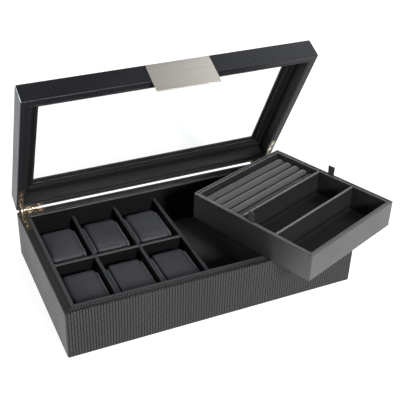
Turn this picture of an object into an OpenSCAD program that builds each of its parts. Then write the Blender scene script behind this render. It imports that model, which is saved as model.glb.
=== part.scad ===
// Watch box with a glass-topped lid, six watch slots with pillows and a
// loose valet tray. The lid stands open on its quadrant hinges and the tray
// rests, turned, on the rim over its own bay.
// Frame: origin at the centre of the underside, +Z up, front face at -Y,
// hinges at +Y. All sizes in millimetres.

/* [Base box] */
// outside width of the box
box_w = 360; // [340:1:380]
// outside depth of the box
box_d = 210; // [204:1:216]
// height of the base from floor to rim
base_h = 62; // [58:0.5:70]
// thickness of the wrapped outer boards of the base
wall_t = 9.4; // [9:0.1:11]
// thickness of the inner lining boards
liner_t = 5.0; // [4:0.1:6]
// how far the lining boards stop below the rim
liner_drop = 0.8; // [0.4:0.1:2]
// thickness of the bottom board
bottom_t = 4.0; // [3:0.1:5]
// thickness of the felt under the box
felt_t = 0.8; // [0.5:0.1:1.5]
// thickness of the floor linings
floor_t = 1.2; // [0.8:0.1:2]

/* [Watch slots] */
// inside width of one watch slot
slot_w = 51.2; // [48:0.1:52]
// thickness of the slot dividers
divider_t = 4.4; // [3.6:0.1:5]
// height of the divider tops above the floor under the box
divider_top = 49; // [44:0.5:54]
// width of a watch pillow
pillow_w = 42; // [36:0.5:44]
// length of a watch pillow
pillow_l = 67; // [60:0.5:76]
// height of the pillow top above the floor under the box
pillow_top = 46; // [40:0.5:48]

/* [Lid] */
// height of the lid from its rim to its top
lid_h = 25; // [22:0.5:30]
// width of the lid's rim boards
lid_wall_t = 11; // [10:0.1:13]
// gap between the two rims when closed
rim_gap = 0.2; // [0.1:0.05:0.4]
// angle at which the quadrant stays hold the lid open
open_angle = 64; // [60:1:66]
// margin from the outside of the lid to the window, at the sides
window_side = 26.5; // [24:0.5:30]
// margin from the outside of the lid to the window, at the front
window_front = 28; // [26:0.5:34]
// margin from the outside of the lid to the window, at the rear
window_rear = 29; // [26:0.5:34]
// thickness of the top frame board
top_t = 2.4; // [2:0.1:3.5]
// thickness of the glass
glass_t = 2.4; // [2:0.1:3]

/* [Front plate] */
// width of the brushed lift plate
plate_w = 78; // [60:1:90]
// distance of the plate's middle from the middle of the box
plate_x = 5; // [-10:0.5:10]
// thickness of the plate
plate_t = 1.2; // [0.8:0.1:1.6]
// how far the plate hangs below the lid's rim
plate_drop = 15.7; // [8:0.1:18]
// thickness of the adhesive pad behind the plate
pad_t = 0.3; // [0.25:0.05:0.5]

/* [Hinges] */
// distance of the hinge axis behind the rear face
axis_back = 1.65; // [1.5:0.05:1.8]
// outside radius of the hinge barrels
barrel_r = 1.9; // [1.8:0.05:2]
// radius of the hinge pins
pin_r = 0.9; // [0.8:0.05:1]
// radial clearance between a pin and its barrels
pin_fit = 0.05; // [0.03:0.01:0.08]
// thickness of the hinge leaves
leaf_t = 1.0; // [0.8:0.1:1.2]
// width of the leaf arms
leaf_w = 6.4; // [6:0.1:6.6]
// length of the arm along the side of the box
side_arm = 42; // [36:1:46]
// length of the arm along the rear of the box
rear_arm = 32; // [30:1:36]
// radius of the quadrant stays
stay_r = 14; // [13.5:0.1:14.5]

/* [Valet tray] */
// width of the tray, along its ring rolls
tray_w = 161.4; // [150:0.2:162]
// length of the tray, across its compartments
tray_l = 179.2; // [170:0.2:180]
// height of the tray
tray_h = 35.5; // [30:0.5:38]
// thickness of the tray's wrapped boards
tray_wall_t = 3.4; // [3:0.1:4]
// thickness of the tray's lining
tray_liner_t = 2.4; // [2:0.1:2.6]
// position of the tray's middle, across the box
tray_x = 127.6; // [124:0.2:132]
// position of the tray's middle, front to back
tray_y = -42.1; // [-46:0.2:-38]
// turn of the tray from square, as it lies on the rim
tray_yaw = 21.2; // [18:0.2:24]
// number of ring rolls
ring_rolls = 5; // [4:1:6]
// room taken by the row of ring rolls
ring_room = 65; // [60:0.5:70]
// how far the tops of the ring rolls lie below the tray's rim
ring_drop = 7; // [5:0.5:9]
// thickness of the tray's dividers
tray_div_t = 3.0; // [2:0.1:3.5]
// width of the ribbon pull tabs
tab_w = 8.6; // [7:0.2:12]
// height of the ribbon pull tabs above the tray's rim
tab_h = 13; // [10:0.5:15]

/* [Hidden] */
$fn = 64;
eps = 0.01;
hw = box_w / 2;
hd = box_d / 2;
in_x = hw - wall_t - liner_t;
in_y = hd - wall_t - liner_t;
floor_top = felt_t + bottom_t + floor_t;
axis_y = hd + axis_back;
axis_z = base_h + rim_gap / 2;
lid_z = base_h + rim_gap;
lid_top = lid_z + lid_h;
div1_x = -in_x + slot_w + divider_t / 2;
div2_x = div1_x + slot_w + divider_t;
bay_x = div2_x + slot_w + divider_t;
row_len = bay_x - divider_t / 2 + in_x;
arm_x0 = -hw + 2.4;                 // outer edge of the left side arm
arm_x1 = arm_x0 + leaf_w;
arm_y1 = hd - 0.4;                  // rear edge of the arms
knuckle_a = [arm_x0 + 1.4, arm_x0 + 7.4];
knuckle_b = [arm_x0 + 7.7, arm_x0 + 19.1];
knuckle_c = [arm_x0 + 19.4, arm_x0 + 25.4];
stay_x = arm_x0 + leaf_w / 2 - 0.5;
stay_t = 1.2;
side_screw_y = [hd - 24, hd - 35];
rear_screw_x = [arm_x0 + 13, arm_x0 + 27];
tin_w = tray_w / 2 - tray_wall_t - tray_liner_t;
tin_l = tray_l / 2 - tray_wall_t - tray_liner_t;
tray_floor_top = 0.6 + 2.4;
ring_y0 = tin_l - ring_room;        // front edge of the row of ring rolls
ring_div_y = ring_y0 - tray_div_t / 2;
div_y = (ring_y0 - tray_div_t - tin_l) / 2;
tray_z = base_h + 0.1;

// which node to draw

wrap_c = [0.16, 0.16, 0.17];
liner_c = [0.10, 0.10, 0.11];
suede_c = [0.20, 0.20, 0.21];
pillow_c = [0.27, 0.27, 0.29];
brass_c = [0.72, 0.60, 0.42];
steel_c = [0.68, 0.65, 0.61];
ring_c = [0.38, 0.37, 0.35];

// ---- shared shapes ----

// a bar along X with mitred ends, outer face at y = -d/2
module mitre_front(w, d, t, z0, z1) {
  translate([0, 0, z0]) linear_extrude(z1 - z0)
    polygon([[-w/2, -d/2], [w/2, -d/2], [w/2 - t, -d/2 + t], [-w/2 + t, -d/2 + t]]);
}

// a bar along Y with mitred ends, outer face at x = -w/2
module mitre_left(w, d, t, z0, z1) {
  translate([0, 0, z0]) linear_extrude(z1 - z0)
    polygon([[-w/2, -d/2], [-w/2, d/2], [-w/2 + t, d/2 - t], [-w/2 + t, -d/2 + t]]);
}

// rectangle with rounded corners, centred
module rrect(w, h, r) {
  square([w - 2*r, h], center = true);
  square([w, h - 2*r], center = true);
  for (sx = [-1, 1], sy = [-1, 1])
    translate([sx * (w/2 - r), sy * (h/2 - r)]) circle(r = r);
}

// rectangular ring
module ring(w, d, t, z0, z1) {
  translate([0, 0, z0]) linear_extrude(z1 - z0) difference() {
    square([w, d], center = true);
    square([w - 2*t, d - 2*t], center = true);
  }
}

// cylinder along X between two x positions
module xcyl(x0, x1, r) {
  translate([x0, 0, 0]) rotate([0, 90, 0]) cylinder(r = r, h = x1 - x0);
}

module at_axis() { translate([0, axis_y, axis_z]) children(); }

// moves a lid piece from its closed place to the open rest place
module opened() {
  translate([0, axis_y, axis_z]) rotate([-open_angle, 0, 0])
    translate([0, -axis_y, -axis_z]) children();
}

module both_sides() { children(); mirror([1, 0, 0]) children(); }

// sector of a ring about the hinge axis; angles are measured from the
// forward direction downwards
module sector(r0, r1, a0, a1, x0, x1) {
  at_axis() intersection() {
    difference() {
      xcyl(x0, x1, r1);
      xcyl(x0 - 1, x1 + 1, r0);
    }
    translate([x0 - 1, 0, 0]) rotate([90, 0, 90]) linear_extrude(x1 - x0 + 2)
      polygon([[0, 0],
        for (i = [0 : 4]) let (a = a0 + (a1 - a0) * i / 4)
          [-30 * cos(a), -30 * sin(a)]]);
  }
}

// ---- hinge cut-outs shared by base and lid ----

// L-shaped leaf outline at the left rear corner, grown by g
module leaf_outline(g) {
  translate([arm_x0 - g, hd - side_arm - g])
    square([leaf_w + 2*g, side_arm - 0.4 + 2*g]);
  translate([arm_x0 - g, arm_y1 - leaf_w - g])
    square([rear_arm + 2*g, leaf_w + 2*g]);
}

module barrel_relief() {
  at_axis() xcyl(arm_x0 + 0.4, arm_x0 + 26.4, barrel_r + 0.4);
}

// pockets in the base boards for one hinge
module base_hinge_cut() {
  translate([0, 0, base_h - leaf_t]) linear_extrude(leaf_t + 1) leaf_outline(0.1);
  barrel_relief();
  sector(stay_r - 2.1, stay_r + 2.1, -4, open_angle + 9,
         stay_x - stay_t/2 - 0.4, stay_x + stay_t/2 + 0.4);
  screw_holes(base_h - leaf_t - 7, 7.1);
}

// pockets in the lid rails for one hinge
module lid_hinge_cut() {
  translate([0, 0, lid_z - 1]) linear_extrude(leaf_t + 1) leaf_outline(0.1);
  barrel_relief();
  screw_holes(lid_z + leaf_t - 0.1, 7.1);
}

module screw_holes(z, h) {
  for (y = side_screw_y)
    translate([arm_x0 + leaf_w/2, y, z]) cylinder(r = 1.05, h = h, $fn = 32);
  for (x = rear_screw_x)
    translate([x, arm_y1 - leaf_w/2, z]) cylinder(r = 1.05, h = h, $fn = 32);
}

// ---- base ----

module underside_felt() { color(suede_c)
  linear_extrude(felt_t) rrect(box_w - 10, box_d - 10, 6); }

module base_bottom_board() { color(liner_c)
  translate([-(hw - wall_t), -(hd - wall_t), felt_t])
    cube([box_w - 2*wall_t, box_d - 2*wall_t, bottom_t]); }

module base_wall_front() { color(wrap_c)
  mitre_front(box_w, box_d, wall_t, felt_t, base_h); }

module base_wall_rear() { color(wrap_c) difference() {
  mirror([0, 1, 0]) mitre_front(box_w, box_d, wall_t, felt_t, base_h);
  both_sides() base_hinge_cut();
} }

module base_wall_left() { color(wrap_c) difference() {
  mitre_left(box_w, box_d, wall_t, felt_t, base_h);
  base_hinge_cut();
} }

module base_wall_right() { color(wrap_c) mirror([1, 0, 0]) difference() {
  mitre_left(box_w, box_d, wall_t, felt_t, base_h);
  base_hinge_cut();
} }

module liner_bar_y(s) {
  translate([-(hw - wall_t), s > 0 ? in_y : -in_y - liner_t, felt_t + bottom_t])
    cube([box_w - 2*wall_t, liner_t, base_h - liner_drop - felt_t - bottom_t]);
}
module liner_bar_x(s) {
  translate([s > 0 ? in_x : -in_x - liner_t, -in_y, felt_t + bottom_t])
    cube([liner_t, 2*in_y, base_h - liner_drop - felt_t - bottom_t]);
}
module base_liner_front() { color(liner_c) liner_bar_y(-1); }
module base_liner_rear() { color(liner_c) liner_bar_y(1); }
module base_liner_left() { color(liner_c) liner_bar_x(-1); }
module base_liner_right() { color(liner_c) liner_bar_x(1); }

module slot_floor_lining() { color(suede_c)
  translate([-in_x, -in_y, felt_t + bottom_t])
    cube([bay_x - divider_t/2 + in_x, 2*in_y, floor_t]); }

module bay_floor_lining() { color(suede_c)
  translate([bay_x + divider_t/2, -in_y, felt_t + bottom_t])
    cube([in_x - bay_x - divider_t/2, 2*in_y, floor_t]); }

// the column dividers are notched from above at the row divider
module column_divider(x) {
  mid = (floor_top + divider_top) / 2;
  difference() {
    translate([x - divider_t/2, -in_y, floor_top])
      cube([divider_t, 2*in_y, divider_top - floor_top]);
    translate([x - divider_t, -divider_t/2, mid])
      cube([2*divider_t, divider_t, divider_top]);
  }
}
module column_divider_outer() { color(wrap_c) column_divider(div1_x); }
module column_divider_inner() { color(wrap_c) column_divider(div2_x); }

// the row divider is notched from below at each column divider
module row_divider() { color(wrap_c)
  difference() {
    translate([-in_x, -divider_t/2, floor_top])
      cube([row_len, divider_t, divider_top - floor_top]);
    for (x = [div1_x, div2_x])
      translate([x - divider_t/2, -divider_t, 0])
        cube([divider_t, 2*divider_t, (floor_top + divider_top) / 2]);
  } }

module bay_divider() { color(wrap_c)
  translate([bay_x - divider_t/2, -in_y, felt_t + bottom_t])
    cube([divider_t, 2*in_y, divider_top - felt_t - bottom_t]); }

// ---- watch pillows ----

// soft pillow with rounded ends and a crowned top
module pillow(col, row) {
  h = pillow_top - floor_top;
  x = -in_x + slot_w/2 + col * (slot_w + divider_t);
  y = row * (divider_t/2 + (in_y - divider_t/2) / 2 - 0.4);
  color(pillow_c) translate([x, y, floor_top + h/2]) intersection() {
    rotate([90, 0, 0]) translate([0, 0, -pillow_l/2])
      linear_extrude(pillow_l) rrect(pillow_w, h, 9);
    rotate([90, 0, 90]) translate([0, 0, -pillow_w/2])
      linear_extrude(pillow_w) rrect(pillow_l, h, 13);
  }
}
module pillow_rear_left() { pillow(0, 1); }
module pillow_rear_middle() { pillow(1, 1); }
module pillow_rear_right() { pillow(2, 1); }
module pillow_front_left() { pillow(0, -1); }
module pillow_front_middle() { pillow(1, -1); }
module pillow_front_right() { pillow(2, -1); }

// ---- hinges, drawn at the left rear corner ----

// one barrel piece joined to its leaf; s = 1 for the base, -1 for the lid
module knuckle(k, s) {
  difference() {
    union() {
      at_axis() xcyl(k[0], k[1], barrel_r);
      translate([k[0], arm_y1 - 1, s > 0 ? base_h - leaf_t : lid_z])
        cube([k[1] - k[0], axis_y - arm_y1 + 1, leaf_t]);
    }
    at_axis() xcyl(k[0] - 1, k[1] + 1, pin_r + pin_fit);
  }
}

module leaf_holes(z, s) {
  for (p = concat([for (y = side_screw_y) [arm_x0 + leaf_w/2, y]],
                  [for (x = rear_screw_x) [x, arm_y1 - leaf_w/2]]))
    translate([p[0], p[1], z]) {
      translate([0, 0, -1]) cylinder(r = 1.1, h = 3, $fn = 32);
      translate([0, 0, s > 0 ? leaf_t - 0.6 : -1])
        cylinder(r = 2.0, h = s > 0 ? 2 : 1.6, $fn = 32);
    }
}

module base_leaf() {
  difference() {
    union() {
      difference() {
        translate([0, 0, base_h - leaf_t]) linear_extrude(leaf_t) leaf_outline(0);
        // room for the lid's barrel between the base barrels
        at_axis() xcyl(knuckle_a[1], knuckle_c[0], barrel_r + 0.25);
      }
      knuckle(knuckle_a, 1);
      knuckle(knuckle_c, 1);
    }
    at_axis() xcyl(knuckle_a[0] - 1, knuckle_c[1] + 1, pin_r + pin_fit);
    leaf_holes(base_h - leaf_t, 1);
    translate([stay_x - stay_t/2 - 0.35, axis_y - stay_r - 1.25, base_h - leaf_t - 1])
      cube([stay_t + 0.7, 2.5, leaf_t + 2]);
  }
}
module hinge_base_leaf_left() { color(brass_c) base_leaf(); }
module hinge_base_leaf_right() { color(brass_c) mirror([1, 0, 0]) base_leaf(); }

module lid_leaf() {
  opened() difference() {
    union() {
      difference() {
        translate([0, 0, lid_z]) linear_extrude(leaf_t) leaf_outline(0);
        // room for the base barrels on each side of the lid's barrel
        at_axis() xcyl(knuckle_a[0] - 1, knuckle_b[0], barrel_r + 0.25);
        at_axis() xcyl(knuckle_b[1], knuckle_c[1] + 1, barrel_r + 0.25);
      }
      knuckle(knuckle_b, -1);
    }
    at_axis() xcyl(knuckle_a[0] - 1, knuckle_c[1] + 1, pin_r + pin_fit);
    leaf_holes(lid_z, -1);
  }
}
module hinge_lid_leaf_left() { color(brass_c) lid_leaf(); }
module hinge_lid_leaf_right() { color(brass_c) mirror([1, 0, 0]) lid_leaf(); }

// headed pin through the three barrels
module hinge_pin() {
  at_axis() {
    xcyl(knuckle_a[0], knuckle_c[1], pin_r);
    xcyl(knuckle_a[0] - 0.5, knuckle_a[0], 1.4);
    xcyl(knuckle_c[1], knuckle_c[1] + 0.5, 1.4);
  }
}
module hinge_pin_left() { color(brass_c) hinge_pin(); }
module hinge_pin_right() { color(brass_c) mirror([1, 0, 0]) hinge_pin(); }

// curved stay fixed under the lid leaf; its wide foot catches under the
// base leaf and stops the lid
module quadrant_stay() {
  opened() difference() {
    union() {
      sector(stay_r - 0.8, stay_r + 0.8, -2, open_angle + 5.5,
             stay_x - stay_t/2, stay_x + stay_t/2);
      sector(stay_r - 1.7, stay_r + 1.7, open_angle + 5.4, open_angle + 8,
             stay_x - stay_t/2, stay_x + stay_t/2);
    }
    translate([-hw, 0, lid_z]) cube([box_w, box_d, 10]);
  }
}
module quadrant_stay_left() { color(brass_c) quadrant_stay(); }
module quadrant_stay_right() { color(brass_c) mirror([1, 0, 0]) quadrant_stay(); }

// screw pointing down from a head at z = 0
module leaf_screw() {
  difference() {
    union() {
      translate([0, 0, -0.55]) cylinder(r = 1.85, h = 0.5, $fn = 32);
      translate([0, 0, -6.5]) cylinder(r = 0.95, h = 6.2, $fn = 32);
    }
    translate([-1.3, -0.2, -0.3]) cube([2.6, 0.4, 1]);
  }
}
module base_leaf_screws() { color(brass_c) both_sides() {
  for (y = side_screw_y) translate([arm_x0 + leaf_w/2, y, base_h]) leaf_screw();
  for (x = rear_screw_x) translate([x, arm_y1 - leaf_w/2, base_h]) leaf_screw();
} }
module lid_leaf_screws() { color(brass_c) opened() both_sides() {
  for (y = side_screw_y)
    translate([arm_x0 + leaf_w/2, y, lid_z]) mirror([0, 0, 1]) leaf_screw();
  for (x = rear_screw_x)
    translate([x, arm_y1 - leaf_w/2, lid_z]) mirror([0, 0, 1]) leaf_screw();
} }

// ---- lid, drawn closed and then opened ----

module lid_rail_front() { color(wrap_c) opened()
  mitre_front(box_w, box_d, lid_wall_t, lid_z, lid_top); }

module lid_rail_rear() { color(wrap_c) opened() difference() {
  mirror([0, 1, 0]) mitre_front(box_w, box_d, lid_wall_t, lid_z, lid_top);
  both_sides() lid_hinge_cut();
} }

module lid_rail_left() { color(wrap_c) opened() difference() {
  mitre_left(box_w, box_d, lid_wall_t, lid_z, lid_top);
  lid_hinge_cut();
} }

module lid_rail_right() { color(wrap_c) opened() mirror([1, 0, 0]) difference() {
  mitre_left(box_w, box_d, lid_wall_t, lid_z, lid_top);
  lid_hinge_cut();
} }

lin_w = box_w - 2*lid_wall_t;
lin_d = box_d - 2*lid_wall_t;

module lid_top_frame() { color(wrap_c) opened() difference() {
  translate([-lin_w/2, -lin_d/2, lid_top - top_t]) cube([lin_w, lin_d, top_t]);
  translate([-hw + window_side, -hd + window_front, lid_top - top_t - 1])
    cube([box_w - 2*window_side, box_d - window_front - window_rear, top_t + 2]);
} }

module lid_glass() { color([0.85, 0.92, 0.95, 0.25]) opened()
  translate([-hw + window_side - 7, -hd + window_front - 7, lid_top - top_t - glass_t])
    cube([box_w - 2*window_side + 14, box_d - window_front - window_rear + 14, glass_t]); }

// stepped moulding that holds the glass up against the top frame
module glass_retainer() { color(liner_c) opened() difference() {
  union() {
    translate([-lin_w/2, -lin_d/2, lid_top - top_t - glass_t - 3])
      cube([lin_w, lin_d, 3]);
    difference() {
      translate([-lin_w/2, -lin_d/2, lid_top - top_t - glass_t - 5])
        cube([lin_w, lin_d, 2]);
      translate([-hw + window_side - 8, -hd + window_front - 8, 0])
        cube([box_w - 2*window_side + 16, box_d - window_front - window_rear + 16, 200]);
    }
  }
  translate([-hw + window_side - 3, -hd + window_front - 3, 0])
    cube([box_w - 2*window_side + 6, box_d - window_front - window_rear + 6, 200]);
} }

module lid_lining() { color(liner_c) opened()
  ring(lin_w, lin_d, 1.6, lid_z + 0.8, lid_top - top_t - glass_t - 5); }

module plate_adhesive_pad() { color(liner_c) opened()
  translate([plate_x - plate_w/2 + 3, -hd - pad_t, lid_z + 1.5])
    cube([plate_w - 6, pad_t, lid_h - 5]); }

module front_plate() { color(steel_c) opened()
  translate([plate_x - plate_w/2, -hd - pad_t - plate_t, lid_z - plate_drop])
    cube([plate_w, plate_t, plate_drop + lid_h - 2]); }

// ---- valet tray, drawn square and then laid on the rim ----

module laid() {
  translate([tray_x, tray_y, tray_z]) rotate([0, 0, tray_yaw]) children();
}

module tray_felt() { color(suede_c) laid()
  linear_extrude(0.6) square([tray_w - 4, tray_l - 4], center = true); }

module tray_floor() { color(suede_c) laid()
  translate([-tray_w/2 + tray_wall_t, -tray_l/2 + tray_wall_t, 0.6])
    cube([tray_w - 2*tray_wall_t, tray_l - 2*tray_wall_t, 2.4]); }

module tray_wall_front() { color(wrap_c) laid()
  mitre_front(tray_w, tray_l, tray_wall_t, 0.6, tray_h); }
module tray_wall_rear() { color(wrap_c) laid()
  mirror([0, 1, 0]) mitre_front(tray_w, tray_l, tray_wall_t, 0.6, tray_h); }
module tray_wall_left() { color(wrap_c) laid() difference() {
  mitre_left(tray_w, tray_l, tray_wall_t, 0.6, tray_h);
  tab_slot();
} }
module tray_wall_right() { color(wrap_c) laid() mirror([1, 0, 0]) difference() {
  mitre_left(tray_w, tray_l, tray_wall_t, 0.6, tray_h);
  tab_slot();
} }

// shallow rebate in which the foot of a pull tab is glued
module tab_slot() {
  translate([-tray_w/2 + tray_wall_t - 0.9, -tab_w/2 - 0.1, tray_h - 12])
    cube([2, tab_w + 0.2, 20]);
}

module tray_lining() { color(liner_c) laid()
  ring(tray_w - 2*tray_wall_t, tray_l - 2*tray_wall_t, tray_liner_t,
       tray_floor_top, tray_h - 0.8); }

module cross_board(y) {
  translate([-tin_w, y - tray_div_t/2, tray_floor_top])
    cube([2*tin_w, tray_div_t, tray_h - 1 - tray_floor_top]);
}
module tray_divider() { color(wrap_c) laid() cross_board(div_y); }
module tray_ring_divider() { color(wrap_c) laid() cross_board(ring_div_y); }

// padded roll with a round top; rings are pushed between two rolls
module ring_roll(i) {
  p = ring_room / ring_rolls;
  w = p - 0.5;
  top = tray_h - ring_drop;
  color(ring_c) laid()
    translate([-tin_w, ring_y0 + p * (i - 0.5), 0]) rotate([90, 0, 90])
      linear_extrude(2*tin_w) {
        translate([-w/2, tray_floor_top]) square([w, top - w/2 - tray_floor_top]);
        translate([0, top - w/2]) circle(r = w/2);
      }
}
module ring_roll_1() { ring_roll(1); }
module ring_roll_2() { ring_roll(2); }
module ring_roll_3() { ring_roll(3); }
module ring_roll_4() { ring_roll(4); }
module ring_roll_5() { ring_roll(5); }

// folded ribbon glued between the board and the lining
module pull_tab() {
  translate([-tray_w/2 + tray_wall_t - 0.8, 0, 0]) {
    translate([0, -tab_w/2, tray_h - 11.8]) cube([0.8, tab_w, 11.8]);
    translate([-0.6, 0, tray_h + tab_h/2]) rotate([90, 0, 90])
      linear_extrude(2.0) rrect(tab_w, tab_h, 0.9);
  }
}
module pull_tab_left() { color(liner_c) laid() pull_tab(); }
module pull_tab_right() { color(liner_c) laid() mirror([1, 0, 0]) pull_tab(); }

underside_felt();
base_bottom_board();
base_wall_front();
base_wall_rear();
base_wall_left();
base_wall_right();
base_liner_front();
base_liner_rear();
base_liner_left();
base_liner_right();
slot_floor_lining();
bay_floor_lining();
column_divider_outer();
column_divider_inner();
row_divider();
bay_divider();
hinge_base_leaf_left();
hinge_base_leaf_right();
hinge_pin_left();
hinge_pin_right();
base_leaf_screws();
hinge_lid_leaf_left();
hinge_lid_leaf_right();
quadrant_stay_left();
quadrant_stay_right();
lid_leaf_screws();
lid_rail_front();
lid_rail_rear();
lid_rail_left();
lid_rail_right();
lid_top_frame();
lid_glass();
glass_retainer();
lid_lining();
front_plate();
plate_adhesive_pad();
pillow_rear_left();
pillow_rear_middle();
pillow_rear_right();
pillow_front_left();
pillow_front_middle();
pillow_front_right();
tray_felt();
tray_floor();
tray_wall_front();
tray_wall_rear();
tray_wall_left();
tray_wall_right();
tray_lining();
tray_divider();
tray_ring_divider();
ring_roll_1();
ring_roll_2();
ring_roll_3();
ring_roll_4();
ring_roll_5();
pull_tab_left();
pull_tab_right();
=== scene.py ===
import bpy, bmesh, math, random
import numpy as np
from mathutils import Matrix, Vector, noise
from mathutils.bvhtree import BVHTree


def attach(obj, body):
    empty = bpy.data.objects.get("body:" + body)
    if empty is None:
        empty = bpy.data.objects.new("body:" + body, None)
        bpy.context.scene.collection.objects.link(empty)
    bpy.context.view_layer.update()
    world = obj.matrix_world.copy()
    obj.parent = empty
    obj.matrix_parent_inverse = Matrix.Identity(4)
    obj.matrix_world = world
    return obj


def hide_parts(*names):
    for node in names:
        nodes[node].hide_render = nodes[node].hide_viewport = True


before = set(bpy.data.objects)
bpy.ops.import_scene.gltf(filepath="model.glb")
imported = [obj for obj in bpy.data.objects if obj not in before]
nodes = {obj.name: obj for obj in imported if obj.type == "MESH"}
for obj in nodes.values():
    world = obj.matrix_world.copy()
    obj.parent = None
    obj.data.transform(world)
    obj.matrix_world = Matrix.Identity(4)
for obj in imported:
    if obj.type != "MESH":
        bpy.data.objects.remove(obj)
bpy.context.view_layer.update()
random.seed(7)
MM = 0.001
rad = math.radians

# ---------------------------------------------------------------- sizes (mm)
W, D, H = 360.0, 210.0, 62.0
HW, HD = W / 2, D / 2
AY, AZ = HD + 1.65, H + 0.1
LZ, LT = H + 0.2, H + 25.2
INX, INY = HW - 14.4, HD - 14.4
OPEN = Matrix.Translation((0, AY * MM, AZ * MM)) @ Matrix.Rotation(rad(-64), 4, "X") @ Matrix.Translation((0, -AY * MM, -AZ * MM))
TRAY = Matrix.Translation((127.6 * MM, -42.1 * MM, 62.1 * MM)) @ Matrix.Rotation(rad(21.2), 4, "Z")
TW, TL, TH = 161.4, 179.2, 35.5
TIX, TIY = TW / 2 - 5.8, TL / 2 - 5.8


# ---------------------------------------------------------------- node helpers
class Mat:
    def __init__(self, name):
        self.m = bpy.data.materials.new(name)
        self.m.use_nodes = True
        self.t = self.m.node_tree
        self.t.nodes.clear()
        self.out = self.t.nodes.new("ShaderNodeOutputMaterial")
        self.b = self.t.nodes.new("ShaderNodeBsdfPrincipled")
        self.link(self.b.outputs[0], self.out.inputs[0])

    def link(self, a, b):
        self.t.links.new(a, b)

    def set(self, **kw):
        for k, v in kw.items():
            self.b.inputs[k.replace("_", " ")].default_value = v
        return self

    def inp(self, node, key, v):
        if isinstance(v, (int, float)):
            node.inputs[key].default_value = v
        elif isinstance(v, (tuple, list)):
            node.inputs[key].default_value = v
        else:
            self.link(v, node.inputs[key])

    def math(self, op, a, b=0.0, c=0.0, clamp=False):
        n = self.t.nodes.new("ShaderNodeMath")
        n.operation = op
        n.use_clamp = clamp
        self.inp(n, 0, a), self.inp(n, 1, b), self.inp(n, 2, c)
        return n.outputs[0]

    def coord(self, kind):
        n = self.t.nodes.new("ShaderNodeTexCoord")
        return n.outputs[kind]

    def mapping(self, vec, scale=(1, 1, 1), rot=(0, 0, 0), loc=(0, 0, 0)):
        n = self.t.nodes.new("ShaderNodeMapping")
        self.link(vec, n.inputs["Vector"])
        n.inputs["Scale"].default_value = scale
        n.inputs["Rotation"].default_value = rot
        n.inputs["Location"].default_value = loc
        return n.outputs[0]

    def noise(self, vec, scale, detail=3.0, rough=0.5, dist=0.0):
        n = self.t.nodes.new("ShaderNodeTexNoise")
        self.link(vec, n.inputs["Vector"])
        n.inputs["Scale"].default_value = scale
        n.inputs["Detail"].default_value = detail
        n.inputs["Roughness"].default_value = rough
        n.inputs["Distortion"].default_value = dist
        return n.outputs["Fac"]

    def voronoi(self, vec, scale, feature="F1", out="Distance", rand=1.0):
        n = self.t.nodes.new("ShaderNodeTexVoronoi")
        n.feature = feature
        self.link(vec, n.inputs["Vector"])
        n.inputs["Scale"].default_value = scale
        n.inputs["Randomness"].default_value = rand
        return n.outputs[out]

    def ramp(self, fac, a, b, c0, c1):
        n = self.t.nodes.new("ShaderNodeMapRange")
        n.interpolation_type = "SMOOTHSTEP"
        self.inp(n, "Value", fac)
        n.inputs["From Min"].default_value = a
        n.inputs["From Max"].default_value = b
        n.inputs["To Min"].default_value = c0
        n.inputs["To Max"].default_value = c1
        return n.outputs[0]

    def mix(self, fac, a, b):
        n = self.t.nodes.new("ShaderNodeMix")
        n.data_type = "RGBA"
        self.inp(n, 0, fac)
        for key, v in ((6, a), (7, b)):
            if isinstance(v, (tuple, list)):
                n.inputs[key].default_value = (*v[:3], 1)
            else:
                self.link(v, n.inputs[key])
        return n.outputs[2]

    def bump(self, h, strength, dist, prev=None):
        n = self.t.nodes.new("ShaderNodeBump")
        n.inputs["Strength"].default_value = strength
        n.inputs["Distance"].default_value = dist
        self.link(h, n.inputs["Height"])
        if prev is not None:
            self.link(prev, n.inputs["Normal"])
        return n.outputs[0]


def grain(M, vec, scale, strength, dist=0.0002, prev=None):
    """Pebbled leatherette: small closed cells with fine pores between them."""
    v = M.voronoi(vec, scale, "SMOOTH_F1")
    n = M.noise(vec, scale * 1.7, 2.0)
    h = M.math("ADD", M.math("MULTIPLY", v, -0.7), M.math("MULTIPLY", n, 0.5))
    return M.bump(h, strength, dist, prev)


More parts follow.
